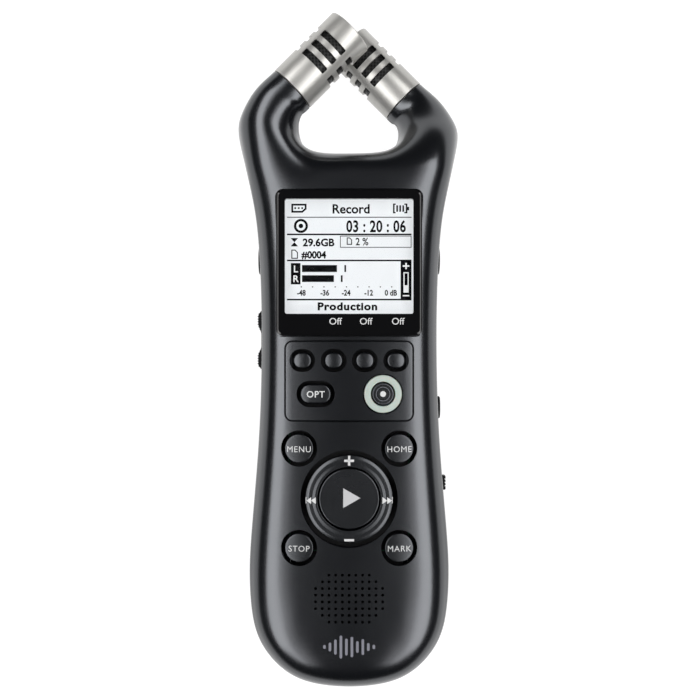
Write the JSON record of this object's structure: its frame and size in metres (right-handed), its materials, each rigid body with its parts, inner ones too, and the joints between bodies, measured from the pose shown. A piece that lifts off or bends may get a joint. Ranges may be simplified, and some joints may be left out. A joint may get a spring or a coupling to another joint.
{
  "type": "portable field recorder",
  "caption": "Handheld audio recorder with crossed metal microphones on two arms, a display, a key plate, a four-way ring key and a sliding battery cover.",
  "frame": {"origin": "on the surface that the recorder lies on, under the middle of its outline", "axes": "+X to the right of the display, +Y towards the microphones, +Z out of the display"},
  "size_m": [0.052, 0.1566, 0.0241],
  "materials": {
    "casing": "semi-gloss moulded black",
    "keys": "satin moulded black with pale marks",
    "window": "clear pane with a black border",
    "lcd": "pale backlit display",
    "light_ring": "frosted pale green",
    "sleeve": "satin, turned",
    "mesh": "blackened woven mesh",
    "steel": "plain",
    "brass": "plain",
    "board": "green solder mask",
    "rubber": "matt black",
    "inner_plastic": "moulded black",
    "cell_case": "printed foil"
  },
  "bodies": {
    "housing": {"battery_contact_left": "steel", "battery_contact_right": "steel", "battery_spring_left": "steel", "battery_spring_right": "steel", "battery_tray": "inner_plastic", "card_socket": "steel", "cell_left": "cell_case", "cell_right": "cell_case", "display_window": "window", "foot_1": "rubber", "foot_2": "rubber", "front_casing": "casing", "housing_screw_1": "steel", "housing_screw_2": "steel", "housing_screw_3": "steel", "housing_screw_4": "steel", "key_plate": "casing", "keypad_base": "rubber", "lcd_backlight": "inner_plastic", "lcd_panel": "lcd", "line_in_jack": "inner_plastic", "main_board": "board", "memory_card": "inner_plastic", "mic_capsule_left": "steel", "mic_capsule_right": "steel", "mic_mesh_left": "mesh", "mic_mesh_right": "mesh", "mic_mount_left": "rubber", "mic_mount_right": "rubber", "mic_sleeve_left": "sleeve", "mic_sleeve_right": "sleeve", "phones_jack": "inner_plastic", "rear_casing": "casing", "record_light_ring": "light_ring", "shield_can": "steel", "speaker_cloth": "rubber", "speaker_driver": "steel", "tripod_bush": "brass", "usb_port": "steel"},
    "soft_key_1": {"soft_key_1": "keys"},
    "soft_key_2": {"soft_key_2": "keys"},
    "soft_key_3": {"soft_key_3": "keys"},
    "soft_key_4": {"soft_key_4": "keys"},
    "opt_key": {"opt_key": "keys"},
    "record_key": {"record_key": "keys"},
    "menu_key": {"menu_key": "keys"},
    "home_key": {"home_key": "keys"},
    "stop_key": {"stop_key": "keys"},
    "mark_key": {"mark_key": "keys"},
    "play_key": {"play_key": "keys"},
    "nav_gimbal": {"nav_gimbal": "inner_plastic"},
    "nav_ring": {"nav_ring": "keys"},
    "volume_rocker": {"volume_rocker": "keys"},
    "power_key": {"power_key": "keys"},
    "hold_switch": {"hold_switch": "keys"},
    "port_flap": {"port_flap": "rubber"},
    "battery_cover": {"battery_cover": "casing", "foot_3": "rubber", "foot_4": "rubber"}
  },
  "joints": [
    {"name": "soft_key_1_press", "type": "slide", "parent": "housing", "child": "soft_key_1", "axis": [0, 0, -1], "range_m": [0, 0.0005], "stiffness_N_per_m": 1200, "springref_m": -0.0005},
    {"name": "soft_key_2_press", "type": "slide", "parent": "housing", "child": "soft_key_2", "axis": [0, 0, -1], "range_m": [0, 0.0005], "stiffness_N_per_m": 1200, "springref_m": -0.0005},
    {"name": "soft_key_3_press", "type": "slide", "parent": "housing", "child": "soft_key_3", "axis": [0, 0, -1], "range_m": [0, 0.0005], "stiffness_N_per_m": 1200, "springref_m": -0.0005},
    {"name": "soft_key_4_press", "type": "slide", "parent": "housing", "child": "soft_key_4", "axis": [0, 0, -1], "range_m": [0, 0.0005], "stiffness_N_per_m": 1200, "springref_m": -0.0005},
    {"name": "opt_key_press", "type": "slide", "parent": "housing", "child": "opt_key", "axis": [0, 0, -1], "range_m": [0, 0.0005], "stiffness_N_per_m": 1200, "springref_m": -0.0005},
    {"name": "record_key_press", "type": "slide", "parent": "housing", "child": "record_key", "axis": [0, 0, -1], "range_m": [0, 0.0005], "stiffness_N_per_m": 1200, "springref_m": -0.0005},
    {"name": "menu_key_press", "type": "slide", "parent": "housing", "child": "menu_key", "axis": [0, 0, -1], "range_m": [0, 0.0005], "stiffness_N_per_m": 1200, "springref_m": -0.0005},
    {"name": "home_key_press", "type": "slide", "parent": "housing", "child": "home_key", "axis": [0, 0, -1], "range_m": [0, 0.0005], "stiffness_N_per_m": 1200, "springref_m": -0.0005},
    {"name": "stop_key_press", "type": "slide", "parent": "housing", "child": "stop_key", "axis": [0, 0, -1], "range_m": [0, 0.0005], "stiffness_N_per_m": 1200, "springref_m": -0.0005},
    {"name": "mark_key_press", "type": "slide", "parent": "housing", "child": "mark_key", "axis": [0, 0, -1], "range_m": [0, 0.0005], "stiffness_N_per_m": 1200, "springref_m": -0.0005},
    {"name": "play_key_press", "type": "slide", "parent": "housing", "child": "play_key", "axis": [0, 0, -1], "range_m": [0, 0.0005], "stiffness_N_per_m": 1200, "springref_m": -0.0005},
    {"name": "nav_up_down", "type": "hinge", "parent": "housing", "child": "nav_gimbal", "pos_m": [0, -0.0336, 0.021], "axis": [1, 0, 0], "range_deg": [-2.5, 2.5], "stiffness_Nm_per_rad": 0.2},
    {"name": "nav_left_right", "type": "hinge", "parent": "nav_gimbal", "child": "nav_ring", "pos_m": [0, -0.0336, 0.021], "axis": [0, 1, 0], "range_deg": [-2.5, 2.5], "stiffness_Nm_per_rad": 0.2},
    {"name": "volume_tilt", "type": "hinge", "parent": "housing", "child": "volume_rocker", "pos_m": [-0.0192, 0.00275, 0.0122], "axis": [0, 0, 1], "range_deg": [-3, 3], "stiffness_Nm_per_rad": 0.15},
    {"name": "power_press", "type": "slide", "parent": "housing", "child": "power_key", "axis": [-1, 0, 0], "range_m": [0, 0.0005], "stiffness_N_per_m": 1200, "springref_m": -0.0005},
    {"name": "hold_slide", "type": "slide", "parent": "housing", "child": "hold_switch", "axis": [0, 1, 0], "range_m": [0, 0.0035]},
    {"name": "battery_cover_slide", "type": "slide", "parent": "housing", "child": "battery_cover", "axis": [0, -1, 0], "range_m": [0, 0.06]},
    {"name": "port_flap_hinge", "type": "hinge", "parent": "housing", "child": "port_flap", "pos_m": [0.02, 0.004, 0.0049], "axis": [0, 1, 0], "range_deg": [0, 110]}
  ]
}
